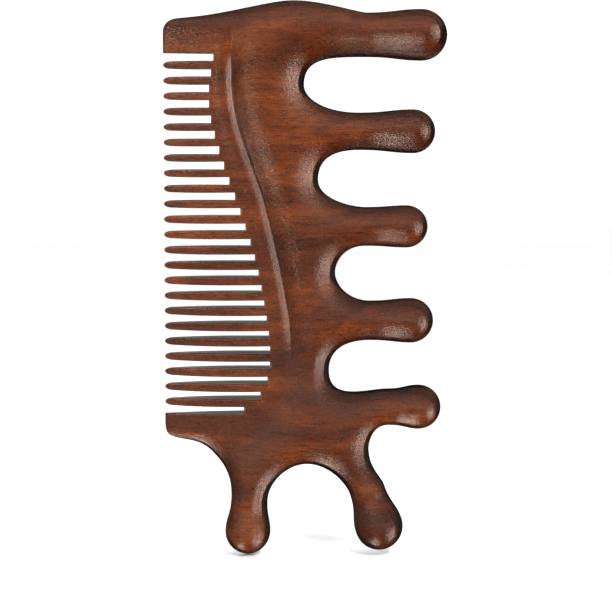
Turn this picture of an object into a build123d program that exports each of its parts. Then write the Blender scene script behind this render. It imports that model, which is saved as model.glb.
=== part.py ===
"""A carved hardwood massage comb: fine teeth down one long side, round wide teeth down the other and below.

X runs across the comb, from the fine teeth (-X) to the wide teeth (+X). Z runs up its length and Y through
its thickness. The origin is the centre of its box. The pieces are the regions that are carved out of one
board, so neighbours meet face to face with no clearance.
"""

import math
import os

from build123d import *

# Overall size
comb_height = 166.0
comb_width = 84.2
back_thickness = 15.6

left = -comb_width / 2
right = comb_width / 2
top = comb_height / 2
bottom = -comb_height / 2

# Fine teeth, sawn from a blade that is lens-shaped in cross-section
fine_tooth_count = 23
tooth_share = 0.49  # of the pitch, the saw cut takes the rest
row_top_drop = 15.6  # from the comb's top to the first saw cut
row_bottom_rise = 43.0  # from the comb's bottom to the last saw cut
fine_tip_length = 2.6
blade_tip_thickness = 0.9
blade_thickness = 10.0
blade_full_depth = 33.0  # from the tips to where the blade reaches its full thickness

# End guards, the thick outer teeth of the fine row
upper_guard_root = -27.0
lower_guard_root = -27.9
guard_corner = 4.0

# Back
flat_to_x = 6.0  # the flat faces end here and the back thins towards the wide teeth
flat_above_bottom = 38.0  # and thins below this height towards the feet
neck_thickness = 11.0
rim_radius = 3.4

# Depth of the saw cuts: share of the way down the fine row, and X of the cut's end
root_line = [
    (0.00, -26.8),
    (0.10, -28.35),
    (0.18, -27.8),
    (0.31, -23.9),
    (0.44, -19.0),
    (0.57, -14.7),
    (0.70, -12.0),
    (0.82, -10.4),
    (0.90, -11.1),
    (0.95, -13.6),
    (1.00, -19.6),
]

# The crease between the blade and the back: X, and share of the way down the comb
crease_line = [
    (-21.6, 0.080),
    (-21.6, 0.160),
    (-20.1, 0.215),
    (-12.9, 0.342),
    (-9.0, 0.432),
    (-5.4, 0.540),
    (-4.2, 0.613),
    (-5.2, 0.676),
    (-10.5, 0.739),
    (-21.0, 0.793),
]


def at(share):
    """Z at this share of the way from the top of the comb to its bottom."""
    return top - share * comb_height


class WideTooth:
    """A round tooth: where its neck leaves the back, the way it points, its diameters and its length."""

    def __init__(self, name, x, z, angle, neck, bulb, length):
        self.name = name
        self.x = x
        self.z = z
        self.turn = math.radians(angle)
        self.neck = neck
        self.bulb = bulb
        self.length = length
        self.forward = (math.cos(self.turn), math.sin(self.turn))
        self.backward = (-math.cos(self.turn), -math.sin(self.turn))

    def corner(self, side):
        """The end of the neck's root line, at +1 on the left of the tooth's axis and -1 on the right."""
        aside = side * self.neck / 2
        return (self.x - aside * math.sin(self.turn), self.z + aside * math.cos(self.turn))


def side_tooth(number, neck_x, z, neck, bulb, short_of_edge):
    """A wide tooth that points to +X and ends this far short of the comb's edge."""
    length = right - short_of_edge - neck_x
    return WideTooth(f"wide_tooth_{number}", neck_x, z, 0, neck, bulb, length)


def foot_tooth(number, neck_x, angle, neck, bulb, length, lift):
    """A wide tooth that points down, with its lowest point this far above the comb's bottom."""
    dome_rise = -math.sin(math.radians(angle)) * (length - bulb / 2)
    z = bottom + lift + bulb / 2 + dome_rise
    return WideTooth(f"foot_tooth_{number}", neck_x, z, angle, neck, bulb, length)


# Every wide tooth, clockwise round the back
wide_teeth = [
    side_tooth(1, 18.0, top - 10.15, 13.1, 15.2, 0.0),
    side_tooth(2, 16.0, at(0.2324), 11.1, 13.0, 3.4),
    side_tooth(3, 18.0, at(0.4028), 11.6, 12.6, 5.5),
    side_tooth(4, 19.5, at(0.5726), 11.9, 13.4, 3.7),
    side_tooth(5, 25.0, at(0.7300), 11.0, 13.3, 1.3),
    foot_tooth(2, 18.75, -72, 10.8, 14.5, 18.9, 1.2),
    foot_tooth(1, -16.8, -93, 11.0, 13.6, 16.6, 0.0),
]
first, second, third, fourth, fifth, front_foot, rear_foot = wide_teeth


# The gaps between neighbouring wide teeth: X of the deepest point, its share of the way from one root to the
# next, and how far the curve swings out at the upper root, above and below the deepest point, and at the lower
gaps = [
    (-0.3, 0.50, (0.52, 0.41), (0.23, 0.54)),
    (3.9, 0.52, (0.58, 0.36), (0.35, 0.26)),
    (9.0, 0.48, (0.56, 0.21), (0.28, 0.48)),
    (7.2, 0.62, (0.80, 0.10), (0.53, 0.34)),
    (19.2, 0.39, (0.52, 0.17), (0.50, 0.17)),
]

# Free edges of the back, blade and guards
guard_shoulder = (left + guard_corner, top - 5.3)
blade_top = (upper_guard_root, top - 3.97)
crease_top = (-22.2, top - 3.1)
hump = (-3.6, top)
arch = (0.6, bottom + 27.4)
crease_bottom = (lower_guard_root, at(0.812))
guard_heel = (left + 1.6, bottom + 36.1)
top_slope = (0.98, 0.18)
flank_slope = (-0.70, 0.71)
heel_slope = (-0.90, 0.43)

# Fine row, from the bottom of the upper guard to the top of the lower one
row_top = top - row_top_drop
row_bottom = bottom + row_bottom_rise
pitch = (row_top - row_bottom) / (fine_tooth_count + 1 - tooth_share)
tooth_width = pitch * tooth_share
cut_width = pitch - tooth_width


def cut_top(number):
    """Z of the upper side of a saw cut. Cut 0 is above the first tooth."""
    return row_top - number * pitch


def cut_end(number):
    """X of the end of a saw cut, read off the root line by cubic steps between its points."""
    share = (row_top - cut_top(number) + cut_width / 2) / (row_top - row_bottom)
    index = max(i for i in range(len(root_line) - 1) if root_line[i][0] <= share)
    ends = root_line[index : index + 2]
    slopes = []
    for place in (index, index + 1):
        before = root_line[max(place - 1, 0)]
        after = root_line[min(place + 1, len(root_line) - 1)]
        slopes.append((after[1] - before[1]) / (after[0] - before[0]))
    span = ends[1][0] - ends[0][0]
    t = (share - ends[0][0]) / span
    return (
        (2 * t**3 - 3 * t**2 + 1) * ends[0][1]
        + (t**3 - 2 * t**2 + t) * span * slopes[0]
        + (3 * t**2 - 2 * t**3) * ends[1][1]
        + (t**3 - t**2) * span * slopes[1]
    )


cut_ends = [cut_end(number) for number in range(fine_tooth_count + 1)]
cut_ends[0] = upper_guard_root


def swing(start, start_way, end, end_way, pull_start, pull_end):
    """A smooth curve between two points, leaving and arriving along the given ways. Larger pulls bow it out."""
    reach = math.dist(start, end)
    leave = [pull_start * reach * part / math.hypot(*start_way) for part in start_way]
    arrive = [pull_end * reach * part / math.hypot(*end_way) for part in end_way]
    first_handle = (start[0] + leave[0], start[1] + leave[1])
    last_handle = (end[0] - arrive[0], end[1] - arrive[1])
    return Bezier(start, first_handle, last_handle, end)


def draw_gap(upper, lower, gap):
    """The U-shaped edge of the back between the roots of two wide teeth."""
    x, share, pulls_above, pulls_below = gap
    start = upper.corner(-1)
    end = lower.corner(1)
    floor = (x, start[1] + share * (end[1] - start[1]))
    swing(start, upper.backward, floor, (0, -1), *pulls_above)
    swing(floor, (0, -1), end, lower.forward, *pulls_below)


def draw_crease():
    """The line where the blade meets the back, from the top edge down to the flank."""
    Spline(crease_top, *[(x, at(share)) for x, share in crease_line], crease_bottom)


def blade_section():
    """The blade seen from above: a lens that is thickest where it meets the back."""
    full_x = left + blade_full_depth
    half_tip = blade_tip_thickness / 2
    half = blade_thickness / 2
    with BuildSketch(Plane.XY.offset(bottom - 1)) as section:
        with BuildLine():
            Line((left, -half_tip), (left, half_tip))
            TangentArc((full_x, half), (left, half_tip), tangent=(-1, 0))
            Polyline((full_x, half), (right, half), (right, -half), (full_x, -half))
            TangentArc((full_x, -half), (left, -half_tip), tangent=(-1, 0))
        make_face()
    return section.sketch


def back_section():
    """The back seen from above, flat in the middle and thinner towards the wide teeth."""
    half = back_thickness / 2
    half_neck = neck_thickness / 2
    with BuildSketch(Plane.XY.offset(bottom - 1)) as section:
        with BuildLine():
            Line((left, -half), (left, half))
            Line((right, -half_neck), (right, half_neck))
            for side in (1, -1):
                Line((left, side * half), (flat_to_x, side * half))
                swing((flat_to_x, side * half), (1, 0), (right, side * half_neck), (1, 0), 0.3, 0.6)
        make_face()
    return section.sketch


def foot_section():
    """The back seen from the side, flat above and thinner towards the feet."""
    half = back_thickness / 2
    half_neck = neck_thickness / 2
    start = bottom + flat_above_bottom
    with BuildSketch(Plane.YZ.offset(left - 1)) as section:
        with BuildLine():
            Line((-half, top + 1), (half, top + 1))
            Line((-half_neck, bottom), (half_neck, bottom))
            for side in (1, -1):
                Line((side * half, top + 1), (side * half, start))
                swing((side * half, start), (0, -1), (side * half_neck, bottom), (0, -1), 0.3, 0.6)
        make_face()
    return section.sketch


def save(part, name):
    """Labels a finished part and writes its STEP file."""
    part.label = name
    export_step(part, f"parts/{name}.step")


def on_root(edge):
    """Whether an edge lies across the root of a wide tooth."""
    middle = edge.center()
    return any(math.dist((middle.X, middle.Z), (tooth.x, tooth.z)) < 0.1 for tooth in wide_teeth)


def make_back():
    """The thick back: its outline with a root for each wide tooth, rounded, then thinned to the necks."""
    with BuildPart() as back:
        with BuildSketch(Plane.XZ.offset(-back_thickness / 2)):
            with BuildLine():
                swing(crease_top, top_slope, hump, (1, 0), 0.36, 0.25)
                swing(hump, (1, 0), first.corner(1), (1, -0.15), 0.38, 0.23)
                for tooth in wide_teeth:
                    Line(tooth.corner(1), tooth.corner(-1))
                for upper, lower, gap in zip(wide_teeth, wide_teeth[1:], gaps):
                    draw_gap(upper, lower, gap)
                swing(front_foot.corner(-1), front_foot.backward, arch, (-1, 0), 0.26, 0.38)
                swing(arch, (-1, 0), rear_foot.corner(1), rear_foot.forward, 0.36, 0.34)
                swing(rear_foot.corner(-1), rear_foot.backward, crease_bottom, flank_slope, 0.45, 0.33)
                draw_crease()
            make_face()
        extrude(amount=back_thickness)
        rims = back.faces().filter_by(Axis.Y).edges()
        fillet([edge for edge in rims if not on_root(edge)], rim_radius)
        extrude(back_section(), amount=comb_height + 2, mode=Mode.INTERSECT)
        extrude(foot_section(), amount=comb_width + 2, mode=Mode.INTERSECT)
    return back


def make_blade():
    """The blade that the fine teeth are sawn from, from the ends of the saw cuts to the crease."""
    with BuildPart() as blade:
        with BuildSketch(Plane.XZ.offset(-blade_thickness / 2)):
            with BuildLine():
                Polyline((upper_guard_root, row_top), blade_top, crease_top)
                draw_crease()
                Polyline(crease_bottom, (lower_guard_root, row_bottom), (cut_ends[-1], row_bottom))
                for number, end in enumerate(cut_ends):
                    Line((end, cut_top(number)), (end, cut_top(number) - cut_width))
                for number, ends in enumerate(zip(cut_ends, cut_ends[1:])):
                    upper = (ends[0], cut_top(number) - cut_width)
                    Line(upper, (ends[1], cut_top(number + 1)))
            make_face()
        extrude(amount=blade_thickness)
        extrude(blade_section(), amount=comb_height + 2, mode=Mode.INTERSECT)
    return blade


def make_fine_tooth(number):
    """One fine tooth, between this saw cut and the next, with a rounded tip and the blade's section."""
    upper = cut_top(number) - cut_width
    lower = cut_top(number + 1)
    tip = (left, (upper + lower) / 2)
    shoulder_x = left + fine_tip_length
    with BuildPart() as tooth:
        with BuildSketch(Plane.XZ.offset(-blade_thickness / 2)):
            with BuildLine():
                swing(tip, (0, 1), (shoulder_x, upper), (1, 0), 0.3, 0.4)
                Polyline(
                    (shoulder_x, upper),
                    (cut_ends[number], upper),
                    (cut_ends[number + 1], lower),
                    (shoulder_x, lower),
                )
                swing(tip, (0, -1), (shoulder_x, lower), (1, 0), 0.3, 0.4)
            make_face()
        extrude(amount=blade_thickness)
        extrude(blade_section(), amount=comb_height + 2, mode=Mode.INTERSECT)
    return tooth


def make_upper_guard():
    """The thick tooth above the fine row."""
    with BuildPart() as guard:
        with BuildSketch(Plane.XZ.offset(-blade_thickness / 2)):
            with BuildLine():
                Polyline(blade_top, (upper_guard_root, row_top), (left, row_top))
                Line((left, row_top), (left, guard_shoulder[1] - guard_corner))
                swing((left, guard_shoulder[1] - guard_corner), (0, 1), guard_shoulder, (1, 0.1), 0.4, 0.4)
                swing(guard_shoulder, (1, 0.1), blade_top, (1, 0.16), 0.35, 0.35)
            make_face()
        extrude(amount=blade_thickness)
        extrude(blade_section(), amount=comb_height + 2, mode=Mode.INTERSECT)
    return guard


def make_lower_guard():
    """The thick tooth below the fine row, which sweeps down into the rear foot."""
    heel_corner = (left, guard_heel[1] + guard_corner)
    with BuildPart() as guard:
        with BuildSketch(Plane.XZ.offset(-blade_thickness / 2)):
            with BuildLine():
                swing(crease_bottom, flank_slope, guard_heel, heel_slope, 0.46, 0.30)
                swing(guard_heel, heel_slope, heel_corner, (0, 1), 0.3, 0.5)
                Polyline(
                    heel_corner,
                    (left, row_bottom),
                    (lower_guard_root, row_bottom),
                    crease_bottom,
                )
            make_face()
        extrude(amount=blade_thickness)
        extrude(blade_section(), amount=comb_height + 2, mode=Mode.INTERSECT)
    return guard


def make_wide_tooth(tooth):
    """A round tooth, turned about its own axis: a neck that swells into a bulb with a domed tip."""
    axis = Plane((tooth.x, 0, tooth.z), x_dir=(tooth.forward[0], 0, tooth.forward[1]), z_dir=(0, -1, 0))
    dome = tooth.length - tooth.bulb / 2
    with BuildPart() as solid:
        with BuildSketch(axis):
            with BuildLine():
                Polyline((tooth.length, 0), (0, 0), (0, tooth.neck / 2))
                swing((0, tooth.neck / 2), (1, 0), (dome, tooth.bulb / 2), (1, 0), 0.5, 0.4)
                CenterArc((dome, 0), tooth.bulb / 2, 0, 90)
            make_face()
        revolve(axis=Axis((tooth.x, 0, tooth.z), (tooth.forward[0], 0, tooth.forward[1])))
    return solid


os.makedirs("parts", exist_ok=True)
save(make_back().part, "comb_back")
save(make_blade().part, "blade")
save(make_upper_guard().part, "upper_guard_tooth")
save(make_lower_guard().part, "lower_guard_tooth")
for number in range(fine_tooth_count):
    save(make_fine_tooth(number).part, f"fine_tooth_{number + 1:02d}")
for tooth in wide_teeth:
    save(make_wide_tooth(tooth).part, tooth.name)
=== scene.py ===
"""The looks of a carved hardwood massage comb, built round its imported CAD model.

Each CAD region gets one closed carved piece. Their outlines come from the CAD meshes. The faces of all the
pieces are one height field over the comb's middle plane, so the surface runs on unbroken from piece to piece.
Lengths are in millimetres until a mesh is made.
"""

import math

import bpy
import numpy as np
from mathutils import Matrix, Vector
from mathutils.geometry import delaunay_2d_cdt
from mathutils.kdtree import KDTree


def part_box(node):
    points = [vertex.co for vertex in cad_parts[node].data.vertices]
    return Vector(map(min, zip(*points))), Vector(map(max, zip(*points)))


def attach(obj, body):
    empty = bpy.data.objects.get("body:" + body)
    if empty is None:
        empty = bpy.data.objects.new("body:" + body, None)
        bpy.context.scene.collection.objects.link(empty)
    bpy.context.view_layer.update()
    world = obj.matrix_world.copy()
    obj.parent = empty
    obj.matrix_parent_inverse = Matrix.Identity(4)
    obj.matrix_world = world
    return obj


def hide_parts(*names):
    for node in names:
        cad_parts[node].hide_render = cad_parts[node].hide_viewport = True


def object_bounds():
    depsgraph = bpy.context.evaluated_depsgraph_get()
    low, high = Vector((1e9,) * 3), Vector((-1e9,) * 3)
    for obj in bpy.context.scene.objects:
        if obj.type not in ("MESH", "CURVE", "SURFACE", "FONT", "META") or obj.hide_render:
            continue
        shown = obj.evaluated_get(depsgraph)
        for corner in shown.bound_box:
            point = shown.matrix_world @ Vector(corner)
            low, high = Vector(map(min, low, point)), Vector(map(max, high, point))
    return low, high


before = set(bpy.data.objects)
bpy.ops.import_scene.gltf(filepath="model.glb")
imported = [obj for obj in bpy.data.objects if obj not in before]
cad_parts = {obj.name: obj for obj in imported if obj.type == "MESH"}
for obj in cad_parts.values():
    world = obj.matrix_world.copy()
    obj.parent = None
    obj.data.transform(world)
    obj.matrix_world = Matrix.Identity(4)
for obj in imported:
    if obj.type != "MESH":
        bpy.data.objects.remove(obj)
cad_low, cad_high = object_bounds()

MM = 1000.0
LEFT, RIGHT = cad_low.x * MM, cad_high.x * MM
BOTTOM, TOP = cad_low.z * MM, cad_high.z * MM
HALF_BACK = cad_high.y * MM  # half the thickness of the back
HALF_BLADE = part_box("blade")[1].y * MM
HALF_TIP = 0.45  # half the thickness of the fine tips
BLADE_DEPTH = 33.0  # from the fine tips to where the blade is thickest

# Reading the outlines
CUT_AT = 0.0005  # the cutting plane lies this far off the middle, so that no CAD point is on it
SAME = 0.05  # a point nearer than this to a corner lies on it
NEAR = 0.1  # two corners of one outline are further apart than this
MEET = 0.2  # corners of neighbouring outlines nearer than this are one point
CORNER = 36.0  # degrees of turn that make a corner of an outline
CORNER_REACH = 0.15  # a corner turns as seen from this far away too, and a nick from the meshing does not
STRAIGHT = 0.01  # a straight side bends less than this

# Spacing of the mesh: along each kind of edge, beside it in rings, and on the grid between
CUT_SPACING, SAWN_SPACING, ROUND_SPACING = 0.45, 0.5, 0.6
ROUND_RINGS = (0.05, 0.2, 0.5, 1.0, 1.7, 2.6)
SAWN_RINGS = (0.06, 0.22, 0.45)
CREASE_RINGS = (0.12, 0.35, 0.7, 1.2, 1.8, 2.6, 3.6)
OWN_RING = 0.96  # a ring point closer to another edge than this share of its offset is left out
EDGE_GAP = 0.3  # least distance of a loose point from any edge
ROUND_GAP, SAWN_GAP, CREASE_GAP = 3.0, 0.8, 4.1  # where the grid takes over from the rings
GRID = 0.95
ROW_STEP = 0.866  # height of a grid row, in grid steps

# The back: squared heights come from a field that levels off away from its edges
SPREAD = 0.19  # per mm, how quickly the back swells away from its edges
FULLNESS = 0.985  # of the CAD back's half thickness
ROOT_LIFT = 34.0  # in squared millimetres, extra swell at the root of each wide tooth
ROOT_REACH = 70.0  # in squared millimetres, how far round the root that goes
TOOTH_BLEND = 5.0  # length over which a wide tooth turns from the back's form to round

# The blade's rounded free edges and the sawn edges
RIM_SHARE, RIM_EXTRA = 1.3, 0.3  # width of the rounding: a share of the height, and more
SAWN_ROUNDING = 0.5

# The crease, with shares of the comb's length measured down from its top
SHARP_FROM, SHARP_IN, SHARP_TO, SHARP_OUT = 0.02, 0.12, 0.54, 0.20
RIDGE, RIDGE_AT, RIDGE_WIDTH = 0.28, 2.8, 1.6  # height, distance from the crease, and width
VALLEY = 1.0  # depth
VALLEY_WIDTH, VALLEY_SPREAD = 0.9, 3.5  # where sharp, and how much more where soft
THIN_BLADE = 6.0  # squared height below which the crease dies out
STEEP_LENGTH, STEEP_POWER = 11.0, 2.3  # the rise to the back where the crease is sharp
SOFT_LENGTH, SOFT_EXTRA = 9.0, 5.0  # and where it is soft, with more at the lower end
LOWER_END, LOWER_BLEND = 0.7, 0.08
THINNEST = 2e-4  # a height below this is an edge


# Outlines


def outline(node):
    """The closed line, anticlockwise in X and Z, where the middle plane cuts a CAD node."""
    mesh = node.data
    mesh.calc_loop_triangles()
    points = np.array([v.co for v in mesh.vertices]) * MM
    points, same = np.unique(np.round(points, 4), axis=0, return_inverse=True)
    same = same.ravel()
    triangles = same[np.array([t.vertices for t in mesh.loop_triangles])]
    above = points[:, 1] > CUT_AT
    mixed = triangles[(above[triangles].sum(1) % 3) != 0]
    links, place = {}, {}
    for triangle in mixed:
        ends = []
        for a, b in ((0, 1), (1, 2), (2, 0)):
            i, j = sorted((triangle[a], triangle[b]))
            if above[i] != above[j]:
                share = (CUT_AT - points[i, 1]) / (points[j, 1] - points[i, 1])
                place[i, j] = (points[i] + share * (points[j] - points[i]))[[0, 2]]
                ends.append((i, j))
        if len(ends) == 2 and ends[0] != ends[1]:
            links.setdefault(ends[0], []).append(ends[1])
            links.setdefault(ends[1], []).append(ends[0])
    start = min(links)
    chain, before, here = [start], None, start
    while True:
        before, here = here, next(k for k in links[here] if k != before)
        if here == start:
            break
        chain.append(here)
    loop = np.array([place[k] for k in chain])
    twin_gap = 0.004
    kept = [0]
    for i in range(1, len(loop)):
        if np.linalg.norm(loop[i] - loop[kept[-1]]) > twin_gap:
            kept.append(i)
    if np.linalg.norm(loop[kept[-1]] - loop[0]) < twin_gap:
        kept.pop()
    loop = loop[kept]
    x, z = loop.T
    if np.sum(x * np.roll(z, -1) - np.roll(x, -1) * z) < 0:
        loop = loop[::-1]
    return loop


def turning(before, after):
    """The angle between two sets of steps, in degrees."""
    turn = np.arctan2(after[:, 1], after[:, 0]) - np.arctan2(before[:, 1], before[:, 0])
    return np.degrees(np.abs((turn + math.pi) % (2 * math.pi) - math.pi))


def is_corner(loop):
    """Which points of a closed line are corners."""
    step = np.roll(loop, -1, 0) - loop
    closed = np.vstack([loop, loop[:1]])
    along = measure(closed)
    behind, ahead = (
        np.array([np.interp(along[:-1] + reach, along, closed[:, n], period=along[-1]) for n in (0, 1)]).T
        for reach in (-CORNER_REACH, CORNER_REACH)
    )
    return (turning(np.roll(step, 1, 0), step) > CORNER) & (turning(loop - behind, ahead - loop) > CORNER)


def measure(loop):
    """Distance along a line to each of its points."""
    return np.concatenate([[0], np.cumsum(np.linalg.norm(np.diff(loop, axis=0), axis=1))])


def is_straight(side):
    """Whether a side runs straight from end to end."""
    way = (side[-1] - side[0]) / np.linalg.norm(side[-1] - side[0])
    away = (side - side[0]) @ np.array([-way[1], way[0]])
    return np.abs(away).max() < STRAIGHT


def thinned(side):
    """A curved side without the points that only halve a facet or crowd their neighbours."""
    crowded, on_facet = 0.08, 0.003
    kept = [side[0]]
    for i in range(1, len(side) - 1):
        if min(np.linalg.norm(side[i] - kept[-1]), np.linalg.norm(side[i] - side[-1])) < crowded:
            continue
        chord = side[i + 1] - kept[-1]
        gap = side[i] - kept[-1]
        if abs(chord[0] * gap[1] - chord[1] * gap[0]) / np.linalg.norm(chord) > on_facet:
            kept.append(side[i])
    return np.array(kept + [side[-1]])


def smoothed(side, spacing):
    """A side redrawn as one smooth curve, with points about this far apart.

    A curved side becomes a run of cubics through its kept points.
    """
    if is_straight(side):
        side = side[[0, -1]]
        count = max(2, round(measure(side)[-1] / spacing) + 1)
        share = np.linspace(0, 1, count)[:, None]
        return side[0] + share * (side[1] - side[0])
    side = thinned(side)
    along = measure(side)
    step = np.diff(along)[:, None]
    slope = np.diff(side, axis=0) / step
    middle = (step[1:] * slope[:-1] + step[:-1] * slope[1:]) / (step[1:] + step[:-1])
    slopes = np.vstack([1.5 * slope[:1] - 0.5 * middle[:1], middle, 1.5 * slope[-1:] - 0.5 * middle[-1:]])
    count = max(2, round(along[-1] / spacing) + 1)
    wanted = np.linspace(0, along[-1], count)
    i = np.clip(np.searchsorted(along, wanted) - 1, 0, len(step) - 1)
    t = ((wanted - along[i]) / step[i, 0])[:, None]
    made = (
        (2 * t**3 - 3 * t**2 + 1) * side[i]
        + (t**3 - 2 * t**2 + t) * step[i] * slopes[i]
        + (3 * t**2 - 2 * t**3) * side[i + 1]
        + (t**3 - t**2) * step[i] * slopes[i + 1]
    )
    made[0], made[-1] = side[0], side[-1]
    return made


# Sides: each outline is split at its corners, and neighbours share the sides between them

loops = {name: outline(node) for name, node in sorted(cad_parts.items())}
corners = np.vstack([loop[is_corner(loop)] for loop in loops.values()])


def split(loop):
    """The sides of an outline, each from one corner to the next. A neighbour's corner on it counts too."""
    for spot in corners:
        if np.linalg.norm(loop - spot, axis=1).min() > NEAR:
            run = np.roll(loop, -1, 0) - loop
            share = np.clip(((spot - loop) * run).sum(1) / (run**2).sum(1), 0, 1)
            far = np.linalg.norm(spot - loop - share[:, None] * run, axis=1)
            if far.min() < SAME:
                loop = np.insert(loop, far.argmin() + 1, spot, axis=0)
    gap = np.linalg.norm(loop[:, None] - corners[None], axis=2)
    marks = list(np.flatnonzero(gap.min(1) < SAME))
    marks = [i for n, i in enumerate(marks) if n == 0 or np.linalg.norm(loop[i] - loop[marks[n - 1]]) > NEAR]
    if np.linalg.norm(loop[marks[-1]] - loop[marks[0]]) < NEAR:
        marks.pop()
    ends = marks[1:] + [marks[0] + len(loop)]
    return [loop[np.arange(a, b + 1) % len(loop)] for a, b in zip(marks, ends)]


sides = [(name, side) for name, loop in loops.items() for side in split(loop)]
points = []  # every point of the mesh lines, in X and Z
lines = {"cut": [], "sawn": [], "round": [], "crease": []}  # the lines of each kind, as point numbers


def number_of(point):
    """The number of a shared corner point."""
    for i, other in enumerate(points):
        if abs(other[0] - point[0]) < MEET and abs(other[1] - point[1]) < MEET:
            return i
    points.append(tuple(point))
    return len(points) - 1


def partner(n):
    """The same side in the neighbouring outline, or None at a free edge."""
    most_longer = 0.5
    name, side = sides[n]
    for m, (other, twin) in enumerate(sides):
        if other != name and np.linalg.norm(twin[0] - side[-1]) + np.linalg.norm(twin[-1] - side[0]) < 2 * MEET:
            if abs(measure(twin)[-1] - measure(side)[-1]) < most_longer:
                return m
    return None


ends = [(number_of(side[0]), number_of(side[-1])) for name, side in sides]
numbers = {}  # the point numbers of each side
for n, (name, side) in enumerate(sides):
    m = partner(n)
    if m in numbers:
        numbers[n] = numbers[m][::-1]
        continue
    straight = is_straight(side)
    way = np.abs(side[-1] - side[0]) / np.linalg.norm(side[-1] - side[0])
    square_on = way.min() < 0.01  # it runs along X or Z
    if m is not None:
        kind, spacing = "cut" if straight else "crease", CUT_SPACING
    elif name.startswith("fine_tooth") or (straight and square_on):
        kind, spacing = "sawn", SAWN_SPACING
    else:
        kind, spacing = "round", ROUND_SPACING
    made = smoothed(side, spacing)
    first = len(points)
    points.extend(map(tuple, made[1:-1]))
    numbers[n] = [ends[n][0], *range(first, len(points)), ends[n][1]]
    lines[kind].append(numbers[n])
rings = {name: [] for name in loops}  # the closed outline of each piece, as point numbers
for n, (name, side) in enumerate(sides):
    rings[name].extend(numbers[n][:-1])


# Fields over the middle plane


class Edges:
    """A set of short segments that can be asked for the nearest point on them."""

    def __init__(self, *kinds):
        place = np.array(points)
        pairs = np.array([ab for kind in kinds for line in lines[kind] for ab in zip(line, line[1:])])
        self.start = place[pairs[:, 0]]
        self.run = place[pairs[:, 1]] - self.start
        self.tree = KDTree(len(pairs))
        for i, (x, z) in enumerate(self.start + self.run / 2):
            self.tree.insert((x, z, 0), i)
        self.tree.balance()

    def nearest(self, where):
        """Distance from each place to the nearest segment, and the point there."""
        near = np.array([[i for _, i, _ in self.tree.find_n((x, z, 0), 4)] for x, z in where])
        gap = where[:, None] - self.start[near]
        run = self.run[near]
        share = np.clip((gap * run).sum(2) / (run**2).sum(2), 0, 1)
        gap -= share[..., None] * run
        far = np.sqrt((gap**2).sum(2))
        pick = far.argmin(1)
        rows = np.arange(len(where))
        return far[rows, pick], where - gap[rows, pick]


def beside(line, offset, half_step):
    """Points this far to the left of a line of points, at its points or half way between them."""
    place = np.array(points)[line]
    way = place[1:] - place[:-1]
    way /= np.linalg.norm(way, axis=1)[:, None]
    if half_step:
        base, across = (place[1:] + place[:-1]) / 2, way
    else:
        base, across = place[1:-1], way[1:] + way[:-1]
        across /= np.linalg.norm(across, axis=1)[:, None]
    return base + offset * np.array([-across[:, 1], across[:, 0]]).T


# Loose points: rings beside the edges, and a grid of triangles between them
free = Edges("sawn", "round")
every = Edges("sawn", "round", "cut", "crease")
round_edges = Edges("round")
sawn_edges = Edges("sawn")
crease_edge = Edges("crease")
extra = []
for kind, offsets in (("round", ROUND_RINGS), ("sawn", SAWN_RINGS)):
    for line in lines[kind]:
        for n, offset in enumerate(offsets):
            made = beside(line, offset, n % 2 == 0)
            if len(made):
                keep = free.nearest(made)[0] > OWN_RING * offset
                keep &= every.nearest(made)[0] > min(SAME, 0.5 * offset)
                extra.append(made[keep])
for line in lines["crease"]:
    for n, offset in enumerate(CREASE_RINGS):
        for side in (1, -1):
            made = beside(line, side * offset, n % 2 == 0)
            keep = free.nearest(made)[0] > EDGE_GAP
            keep &= crease_edge.nearest(made)[0] > OWN_RING * offset
            extra.append(made[keep])
x, z = np.meshgrid(np.arange(LEFT, RIGHT, GRID), np.arange(BOTTOM, TOP, GRID * ROW_STEP))
x[::2] += GRID / 2
grid = np.array([x.ravel(), z.ravel()]).T
grid = grid[
    (round_edges.nearest(grid)[0] > ROUND_GAP)
    & (sawn_edges.nearest(grid)[0] > SAWN_GAP)
    & (crease_edge.nearest(grid)[0] > CREASE_GAP)
    & (every.nearest(grid)[0] > EDGE_GAP)
]
extra.append(grid)


# Triangles

names = list(rings)
everything = [Vector(p) for p in np.vstack([np.array(points), *extra])]
inside_only = 1
placed, _, triangles, origins, _, owners = delaunay_2d_cdt(
    everything, [], [rings[name] for name in names], inside_only, 1e-6
)
moved = np.zeros(len(points), int)  # the new number of each old point
for new, olds in enumerate(origins):
    for old in olds:
        if old < len(points):
            moved[old] = new
flat = np.array([(p.x, p.y) for p in placed])
flat = np.clip(flat, (LEFT, BOTTOM), (RIGHT, TOP))
owned = [n for n, found in enumerate(owners) if found]
triangles = np.array(triangles)[owned]
owner = np.array([owners[n][0] for n in owned])  # the piece that each triangle belongs to
used, packed = np.unique(triangles, return_inverse=True)
triangles = packed.reshape(-1, 3)
flat = flat[used]
moved = np.searchsorted(used, moved)
lines = {kind: [moved[line] for line in found] for kind, found in lines.items()}
back_like = np.array([not n.startswith(("fine", "upper", "lower", "blade")) for n in names])
in_back = back_like[owner]


def mask(*kinds):
    """Which points lie on lines of these kinds."""
    made = np.zeros(len(flat), bool)
    for kind in kinds:
        for line in lines[kind]:
            made[line] = True
    return made


def smooth_step(value):
    """Rises smoothly from 0 to 1 as value does."""
    value = np.clip(value, 0, 1)
    return value * value * (3 - 2 * value)


def edges_of(triangles):
    """The edge facing each corner of these triangles, and twice their areas."""
    corner = flat[triangles]
    edge = np.roll(corner, -1, 1) - np.roll(corner, -2, 1)
    return edge, np.abs(np.cross(edge[:, 0], edge[:, 1]))


# How the back swells: a field that is zero at its free edges and levels off away from them


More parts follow.
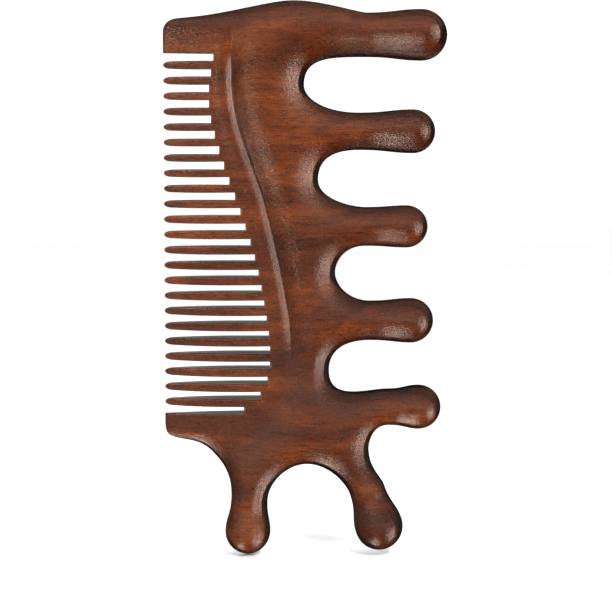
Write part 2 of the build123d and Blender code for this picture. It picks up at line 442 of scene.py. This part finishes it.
def swell(triangles, fixed, source):
    """Solves swell'' = SPREAD^2 (swell - source) over the triangles, with zero at the fixed points.

    Linear triangles and conjugate gradients.
    """
    edge, double_area = edges_of(triangles)
    i = np.repeat(triangles, 3, axis=1).ravel()
    j = np.tile(triangles, (1, 3)).ravel()
    stiff = (edge[:, :, None] * edge[:, None, :]).sum(3) / (2 * double_area)[:, None, None]
    mass = np.bincount(triangles.ravel(), np.repeat(double_area / 6, 3), len(flat))
    live = (mass > 0) & ~fixed
    own = mass * SPREAD**2
    diagonal = np.bincount(i[i == j], stiff.ravel()[i == j], len(flat)) + own + 1e-30

    def apply(u):
        return (np.bincount(i, stiff.ravel() * u[j], len(flat)) + own * u) * live

    u = np.zeros(len(flat))
    rest = own * source * live
    ahead = rest / diagonal
    way = ahead.copy()
    product = rest @ ahead
    first = product
    most_steps, close_enough = 3000, 1e-12
    for _ in range(most_steps):
        pull = apply(way)
        step = product / (way @ pull)
        u += step * way
        rest -= step * pull
        ahead = rest / diagonal
        product, before = rest @ ahead, product
        if product < close_enough * first:
            break
        way = ahead + product / before * way
    return u


x, z = flat.T
round_point = mask("round")
full = HALF_BACK * FULLNESS
teeth = []
for name, ring in rings.items():
    if not name.startswith(("wide", "foot")):
        continue
    ring = moved[ring]
    root = ring[np.isin(ring, np.concatenate(lines["cut"])) & round_point[ring]]
    a = flat[root[0]]
    b = flat[root[np.linalg.norm(flat[root] - a, axis=1).argmax()]]
    centre = (a + b) / 2
    way = np.array([a[1] - b[1], b[0] - a[0]]) / np.linalg.norm(b - a)
    way *= np.sign((flat[ring].mean(0) - centre) @ way)
    along = (flat - centre) @ way
    across = (flat - centre) @ np.array([-way[1], way[0]])
    rim = ring[round_point[ring]]
    upper = rim[across[rim] >= -1e-6]
    upper = upper[np.argsort(along[upper])]
    teeth.append((name, centre, along, across, upper))
source = np.full(len(flat), full**2)
for name, centre, along, across, upper in teeth:
    source += ROOT_LIFT * np.exp(-((flat - centre) ** 2).sum(1) / ROOT_REACH)
body = swell(triangles[in_back], round_point, source)

# Wide teeth: round in section about their own axes
for name, centre, along, across, upper in teeth:
    mine = np.unique(triangles[owner == names.index(name)])
    wide = np.interp(along[mine], along[upper], across[upper] ** 2)
    turned = np.maximum(wide - across[mine] ** 2, 0)
    share = smooth_step(along[mine] / TOOTH_BLEND)
    body[mine] = body[mine] * (1 - share) + turned * share
body = np.minimum(np.where(round_point, 0, body), full**2)

# The blade: a lens in section, rounded off at its free edges
arc = (BLADE_DEPTH**2 + (HALF_BLADE - HALF_TIP) ** 2) / (2 * (HALF_BLADE - HALF_TIP))
short = np.clip(LEFT + BLADE_DEPTH - x, 0, None)
lens = HALF_BLADE - (arc - np.sqrt(arc**2 - short**2))
far_round = np.where(round_point, 0, round_edges.nearest(flat)[0])
blade = lens**2 * (1 - (1 - np.clip(far_round / (RIM_SHARE * lens + RIM_EXTRA), 0, 1)) ** 2)

# The crease: a sharp valley where the back rises from the blade, soft at both ends
far_crease = np.where(mask("crease"), 0, crease_edge.nearest(flat)[0])
down = (TOP - z) / (TOP - BOTTOM)
sharp = smooth_step((down - SHARP_FROM) / SHARP_IN) * (1 - smooth_step((down - SHARP_TO) / SHARP_OUT))
on_back = np.zeros(len(flat), bool)
on_back[triangles[in_back]] = True
on_back[mask("crease")] = False
ridge = RIDGE * np.exp(-(((far_crease - RIDGE_AT) / RIDGE_WIDTH) ** 2))
groove = VALLEY * sharp * np.exp(-far_crease / (VALLEY_WIDTH + VALLEY_SPREAD * (1 - sharp)))
in_valley = RIDGE * math.exp(-((RIDGE_AT / RIDGE_WIDTH) ** 2)) - VALLEY * sharp
dip = sharp * np.where(on_back, in_valley, ridge - groove)
floor_height = np.sqrt(blade) + dip * smooth_step(blade / THIN_BLADE)
steep = 1 - (1 - np.clip(far_crease / STEEP_LENGTH, 0, 1)) ** STEEP_POWER
gentle = smooth_step(far_crease / (SOFT_LENGTH + SOFT_EXTRA * smooth_step((down - LOWER_END) / LOWER_BLEND)))
rise = np.where(on_back, gentle + (steep - gentle) * sharp, 0)
square = np.maximum(floor_height, 0) ** 2 * (1 - rise) + body * rise
square[round_point] = 0

# Sawn edges: rounded over by a set radius, with a wall below
far_sawn, sawn_at = sawn_edges.nearest(flat)
on_sawn = mask("sawn")
height = np.sqrt(square)
radius = np.minimum(SAWN_ROUNDING, height)
no_radius = 1e-6
lean = np.clip(1 - np.where(on_sawn, 0, far_sawn) / np.maximum(radius, no_radius), 0, 1)
lean = np.where(radius > no_radius, lean, 0)
height = height - radius * (1 - np.sqrt(1 - lean**2))
height[height < THINNEST] = 0


def slope(triangles):
    """The slope of the squared height at every point, averaged over these triangles."""
    edge, double_area = edges_of(triangles)
    turned = np.stack([-edge[..., 1], edge[..., 0]], 2)
    each = (turned * square[triangles][..., None]).sum(1)
    total = [np.bincount(triangles.ravel(), np.repeat(each[:, n], 3), len(flat)) for n in (0, 1)]
    mass = np.bincount(triangles.ravel(), np.repeat(double_area, 3), len(flat))
    return np.stack(total, 1) / np.maximum(mass, 1e-12)[:, None]


# Outward way of the sawn walls
out = sawn_at - flat
length = np.linalg.norm(out, axis=1)
out = out / np.maximum(length, 1e-9)[:, None]
wall_way = np.zeros((len(flat), 2))
for line in lines["sawn"]:
    step = np.diff(flat[line], axis=0)
    step /= np.linalg.norm(step, axis=1)[:, None]
    across = np.array([step[:, 1], -step[:, 0]]).T
    np.add.at(wall_way, line[:-1], across)
    np.add.at(wall_way, line[1:], across)
wall_way /= np.maximum(np.linalg.norm(wall_way, axis=1), 1e-9)[:, None]
out[on_sawn] = wall_way[on_sawn]

blade_slope, back_slope = slope(triangles[~in_back]), slope(triangles[in_back])
both = mask("crease")
middle = (blade_slope + back_slope) / 2
for part in (blade_slope, back_slope):
    part[both] = middle[both] + (part[both] - middle[both]) * sharp[both, None]


def normals(part):
    """The way the front of the comb faces at each point."""
    base = np.stack([-part[:, 0], -2 * np.sqrt(square), -part[:, 1]], 1)
    base /= np.maximum(np.linalg.norm(base, axis=1), 1e-9)[:, None]
    aside = np.stack([out[:, 0], np.zeros(len(flat)), out[:, 1]], 1)
    made = base * np.sqrt(1 - lean**2)[:, None] + aside * lean[:, None]
    return made / np.maximum(np.linalg.norm(made, axis=1), 1e-9)[:, None]


faces_way = {True: normals(back_slope), False: normals(blade_slope)}


# Pieces


def make_piece(name, wood, sawn):
    """One closed piece: the front and back of its region, and the walls between them."""
    index = names.index(name)
    mine = triangles[owner == index]
    held = np.unique(mine)
    local = np.full(len(flat), -1)
    local[held] = np.arange(len(held))
    thick = height[held] > 0
    back_number = np.where(thick, len(held) + np.cumsum(thick) - 1, np.arange(len(held)))
    front = np.stack([flat[held, 0], -height[held], flat[held, 1]], 1)
    rear = front[thick] * (1, -1, 1)
    way = faces_way[bool(back_like[index])][held]
    faces, ways, sawn_faces = [], [], []
    for a, b, c in local[mine]:
        faces.append((a, b, c))
        ways.extend((way[a], way[b], way[c]))
        faces.append((back_number[c], back_number[b], back_number[a]))
        ways.extend(way[k] * (1, -1, 1) for k in (c, b, a))
    edges = np.vstack([mine[:, [0, 1]], mine[:, [1, 2]], mine[:, [2, 0]]])
    key = edges.min(1) * len(flat) + edges.max(1)
    _, first, count = np.unique(key, return_index=True, return_counts=True)
    for a, b in edges[first[count == 1]]:
        if height[a] == 0 and height[b] == 0:
            continue
        i, j = local[a], local[b]
        ring = [j, i]
        if thick[i]:
            ring.append(back_number[i])
        if thick[j]:
            ring.append(back_number[j])
        faces.append(tuple(ring))
        if tuple(sorted((a, b))) in sawn_pairs:
            side = {i: wall_way[a], j: wall_way[b]}
            sawn_faces.append(len(faces) - 1)
        else:
            step = flat[b] - flat[a]
            across = np.array([step[1], -step[0]]) / np.linalg.norm(step)
            side = {i: across, j: across}
        side[back_number[i]], side[back_number[j]] = side[i], side[j]
        ways.extend((side[k][0], 0, side[k][1]) for k in ring)
    mesh = bpy.data.meshes.new("carved_" + name)
    mesh.from_pydata((np.vstack([front, rear]) / MM).tolist(), [], [tuple(map(int, f)) for f in faces])
    mesh.polygons.foreach_set("use_smooth", np.ones(len(mesh.polygons), bool))
    mesh.normals_split_custom_set([tuple(map(float, w)) for w in ways])
    mesh.materials.append(wood)
    mesh.materials.append(sawn)  # slot 1, for the walls of the saw cuts, whose pale greyish colour is a painted sheen
    for number in sawn_faces:
        mesh.polygons[number].material_index = 1
    piece = bpy.data.objects.new("carved_" + name, mesh)
    bpy.context.scene.collection.objects.link(piece)
    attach(piece, "root")
    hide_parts(name)


sawn_pairs = {tuple(sorted(map(int, ab))) for line in lines["sawn"] for ab in zip(line, line[1:])}


# Materials


class Shader:
    """A node material under construction."""

    def __init__(self, name):
        self.material = bpy.data.materials.new(name)
        self.material.use_nodes = True
        self.tree = self.material.node_tree
        self.main = self.tree.nodes["Principled BSDF"]

    def add(self, kind, values=(), links=(), **settings):
        """A node of this kind, with its settings, socket values and incoming links."""
        node = self.tree.nodes.new("ShaderNode" + kind)
        for key, value in settings.items():
            setattr(node, key, value)
        for key, value in dict(values).items():
            node.inputs[key].default_value = value
        for key, socket in dict(links).items():
            self.tree.links.new(socket, node.inputs[key])
        return node

    def ramp(self, socket, *stops):
        """A colour ramp over a socket, from (place, colour) stops."""
        node = self.add("ValToRGB", links={0: socket})
        for i, (place, colour) in enumerate(stops):
            stop = node.color_ramp.elements[i] if i < 2 else node.color_ramp.elements.new(place)
            stop.position = place
            stop.color = (*colour, 1)
        return node.outputs[0]


def hardwood(name, dark, middle, light, gloss, shine):
    """Grain along X, open pores and a satin finish, in these tones, with this roughness and shine."""
    shader = Shader(name)
    where = shader.add("TexCoord").outputs["Object"]

    def grain(scale, detail, roughness, distort=0.0):
        """Noise stretched by these scales, per metre along X, Y and Z."""
        mapped = shader.add("Mapping", {"Scale": scale}, {"Vector": where}).outputs[0]
        values = {"Scale": 1.0, "Detail": detail, "Roughness": roughness, "Distortion": distort}
        return shader.add("TexNoise", values, {"Vector": mapped}).outputs[0]

    def times(amount, under, over):
        """One colour darkened by another."""
        mixed = shader.add("Mix", {0: amount}, {6: under, 7: over}, data_type="RGBA", blend_type="MULTIPLY")
        return mixed.outputs[2]

    broad = grain((26, 60, 110), 3, 0.55, 0.6)
    streaks = grain((110, 900, 1500), 5, 0.62, 0.25)
    pores = grain((420, 2600, 3600), 2, 0.5)
    specks = grain((1700, 3000, 3000), 2, 0.6)
    tones = shader.ramp(broad, (0.28, dark), (0.72, light), (0.5, middle))
    streak = shader.ramp(streaks, (0.30, (0.30, 0.26, 0.25)), (0.66, (1.25, 1.22, 1.2)), (0.47, (0.86, 0.84, 0.83)))
    dots = shader.ramp(pores, (0.36, (0.22, 0.2, 0.2)), (0.46, (1, 1, 1)))
    colour = times(0.75, times(0.8, tones, streak), dots)
    shader.tree.links.new(colour, shader.main.inputs["Base Color"])
    rough = shader.add("MapRange", {1: 0.3, 2: 0.7, 3: gloss, 4: gloss + 0.12}, {0: specks}).outputs[0]
    shader.tree.links.new(rough, shader.main.inputs["Roughness"])
    depth = shader.add("Math", {1: 0.6}, {0: pores}, operation="MULTIPLY").outputs[0]
    depth = shader.add("Math", {}, {0: depth, 1: specks}, operation="ADD").outputs[0]
    bump = shader.add("Bump", {"Strength": 0.6, "Distance": 0.0002}, {"Height": depth}).outputs[0]
    shader.tree.links.new(bump, shader.main.inputs["Normal"])
    shader.main.inputs["Specular IOR Level"].default_value = shine
    shader.main.inputs["Specular Tint"].default_value = (1.0, 0.80, 0.68, 1)
    return shader.material


def floor_white():
    """A pale glossy table top."""
    shader = Shader("floor_white")
    where = shader.add("TexCoord").outputs["Object"]
    tone = shader.add("TexNoise", {"Scale": 3.0, "Detail": 2.0}, {"Vector": where}).outputs[0]
    colour = shader.ramp(tone, (0.3, (0.93, 0.93, 0.93)), (0.7, (0.96, 0.96, 0.96)))
    shader.tree.links.new(colour, shader.main.inputs["Base Color"])
    shader.main.inputs["Roughness"].default_value = 0.12
    return shader.material


wood = hardwood("hardwood", (0.028, 0.0044, 0.0007), (0.058, 0.0105, 0.0015), (0.125, 0.0265, 0.0034), 0.20, 0.35)
# The saw-cut walls get a paler, greyer copy of the wood. This is a painted sheen: it stands in for the white studio
# those walls reflect, not the wood's own colour.
sawn = hardwood("sawn_wall_painted_sheen", (0.045, 0.035, 0.024), (0.095, 0.078, 0.055), (0.150, 0.125, 0.090), 0.5, 0.3)
for name in names:
    make_piece(name, wood, sawn)

# Floor, light and camera

FLOOR_REACH = 3.0
FLOOR_GAP = 0.0002  # between the comb's feet and the floor
BACK_GLOW = 1.15  # the studio's wall behind the comb, as the camera sees it
SIDE_GLOW = 0.10  # and the rest of the studio

ground = cad_low.z - FLOOR_GAP
turns = ((-1, -1), (1, -1), (1, 1), (-1, 1))
floor_mesh = bpy.data.meshes.new("floor")
floor_mesh.from_pydata([(FLOOR_REACH * x, FLOOR_REACH * y, ground) for x, y in turns], [], [(0, 1, 2, 3)])
floor = bpy.data.objects.new("floor", floor_mesh)
floor_mesh.materials.append(floor_white())
bpy.context.scene.collection.objects.link(floor)

world = bpy.data.worlds.new("studio")
bpy.context.scene.world = world
world.use_nodes = True
sky = world.node_tree
way = sky.nodes.new("ShaderNodeTexCoord").outputs["Generated"]
split_way = sky.nodes.new("ShaderNodeSeparateXYZ")
sky.links.new(way, split_way.inputs[0])
fade = sky.nodes.new("ShaderNodeMapRange")
fade.interpolation_type = "SMOOTHSTEP"
for socket, value in (("From Min", -0.35), ("From Max", 0.55), ("To Min", SIDE_GLOW), ("To Max", BACK_GLOW)):
    fade.inputs[socket].default_value = value
sky.links.new(split_way.outputs["Y"], fade.inputs[0])
sky.links.new(fade.outputs[0], sky.nodes["Background"].inputs[1])
sky.nodes["Background"].inputs[0].default_value = (1, 1, 1, 1)


def soft_light(name, where, aim, size, power):
    """A rectangular soft light at one point that faces another."""
    light = bpy.data.lights.new(name, "AREA")
    light.shape = "RECTANGLE"
    light.size, light.size_y = size
    light.energy = power
    lamp = bpy.data.objects.new(name, light)
    lamp.location = where
    lamp.rotation_mode = "QUATERNION"
    lamp.rotation_quaternion = (Vector(aim) - Vector(where)).to_track_quat("-Z", "Y")
    bpy.context.scene.collection.objects.link(lamp)


soft_light("left_light", (-0.54, -0.45, 0.04), (0, 0, 0), (0.12, 0.60), 9.5)
soft_light("key_light", (0.30, -0.47, 0.48), (0, 0, 0), (0.18, 0.18), 6.8)
soft_light("top_light", (0.0, 0.1, 1.0), (0, 0.05, 0), (1.2, 0.8), 6.0)

CAMERA_AT = Vector((0.0003, -0.450, 0.037))
VIEW_HEIGHT = 0.1831  # of the middle plane, seen in the picture
VIEW_CENTRE = -0.0077  # height of the picture's centre on the middle plane
SHIFT = -0.068

aim = Vector((CAMERA_AT.x, 0, VIEW_CENTRE - SHIFT * VIEW_HEIGHT))
camera = bpy.data.objects.new("camera", bpy.data.cameras.new("camera"))
bpy.context.scene.collection.objects.link(camera)
bpy.context.scene.camera = camera
camera.location = CAMERA_AT
camera.rotation_mode = "QUATERNION"
camera.rotation_quaternion = (aim - CAMERA_AT).to_track_quat("-Z", "Y")
camera.data.lens = 36 * (aim - CAMERA_AT).length / VIEW_HEIGHT
camera.data.shift_y = SHIFT
camera.data.clip_start = 0.01

bpy.context.scene.view_settings.view_transform = "Standard"
